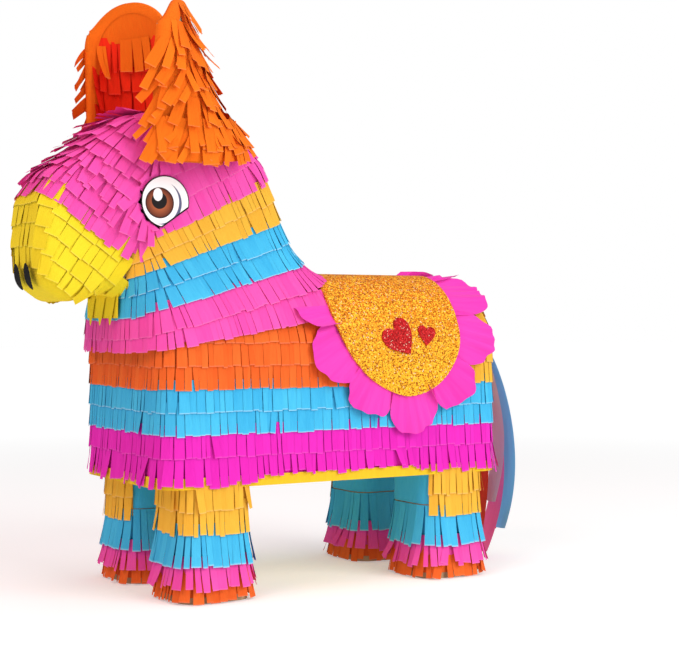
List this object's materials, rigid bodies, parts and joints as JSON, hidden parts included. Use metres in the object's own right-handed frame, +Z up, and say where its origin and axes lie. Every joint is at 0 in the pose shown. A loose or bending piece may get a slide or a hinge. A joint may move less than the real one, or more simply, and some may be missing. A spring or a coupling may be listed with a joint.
{
  "type": "pinata",
  "caption": "Donkey-shaped party pinata of hollow card dressed in bands of crepe-paper fringe, with a glitter saddle, ruffle and ribbon tail.",
  "frame": {"origin": "on the floor under the middle of the donkey, at the centre of its bounding box seen from above", "axes": "+Z up, +X towards the left side of the donkey, +Y towards its tail; the donkey faces -Y"},
  "size_m": [0.157, 0.3978, 0.4176],
  "materials": {
    "card": "matte",
    "pink_crepe": "matte",
    "yellow_crepe": "matte",
    "mustard_crepe": "matte",
    "blue_crepe": "matte",
    "orange_crepe": "matte",
    "magenta_crepe": "matte",
    "red_crepe": "matte",
    "white_crepe": "matte",
    "gold_glitter": "satin",
    "red_glitter": "satin",
    "eye_sticker": "gloss",
    "black_sticker": "gloss"
  },
  "bodies": {
    "donkey": {"belly_panel": "card", "belly_wrap_yellow": "yellow_crepe", "body_fringe_blue": "blue_crepe", "body_fringe_magenta": "magenta_crepe", "body_fringe_orange": "orange_crepe", "body_wrap": "card", "chest_fringe_pink": "pink_crepe", "chest_panel": "card", "ear_fringe_left": "orange_crepe", "ear_fringe_right": "orange_crepe", "ear_left": "card", "ear_lining_left": "red_crepe", "ear_lining_right": "red_crepe", "ear_right": "card", "eye_left": "eye_sticker", "eye_right": "eye_sticker", "hanger_plate": "card", "head_fringe_pink": "pink_crepe", "head_shell": "card", "heart_large_left": "red_glitter", "heart_large_right": "red_glitter", "heart_small_left": "red_glitter", "heart_small_right": "red_glitter", "leg_fringe_blue": "blue_crepe", "leg_fringe_mustard": "mustard_crepe", "leg_fringe_orange": "orange_crepe", "leg_fringe_pink": "pink_crepe", "leg_front_left": "card", "leg_front_right": "card", "leg_rear_left": "card", "leg_rear_right": "card", "muzzle_shell": "card", "muzzle_wrap_yellow": "yellow_crepe", "neck_fringe_blue": "blue_crepe", "neck_fringe_mustard": "mustard_crepe", "neck_shell": "card", "nostril_left": "black_sticker", "nostril_right": "black_sticker", "rump_fringe_mustard": "mustard_crepe", "rump_panel": "card", "saddle": "gold_glitter", "saddle_ruffle": "pink_crepe", "sole_front_left": "card", "sole_front_right": "card", "sole_rear_left": "card", "sole_rear_right": "card", "tail_tie": "card"},
    "filling_flap": {"fill_flap": "card", "flap_paper_yellow": "yellow_crepe"},
    "tail": {"tail_blue": "blue_crepe", "tail_orange": "orange_crepe", "tail_pink": "pink_crepe", "tail_red": "red_crepe", "tail_white": "white_crepe", "tail_yellow": "yellow_crepe"}
  },
  "joints": [
    {"name": "fill_flap_hinge", "type": "hinge", "parent": "donkey", "child": "filling_flap", "pos_m": [-0.0345, 0.00875, 0.0765], "axis": [0, 1, 0], "range_deg": [0, 120]},
    {"name": "tail_swing", "type": "hinge", "parent": "donkey", "child": "tail", "pos_m": [0.012, 0.15285, 0.1935], "axis": [1, 0, 0], "range_deg": [0, 60]}
  ]
}
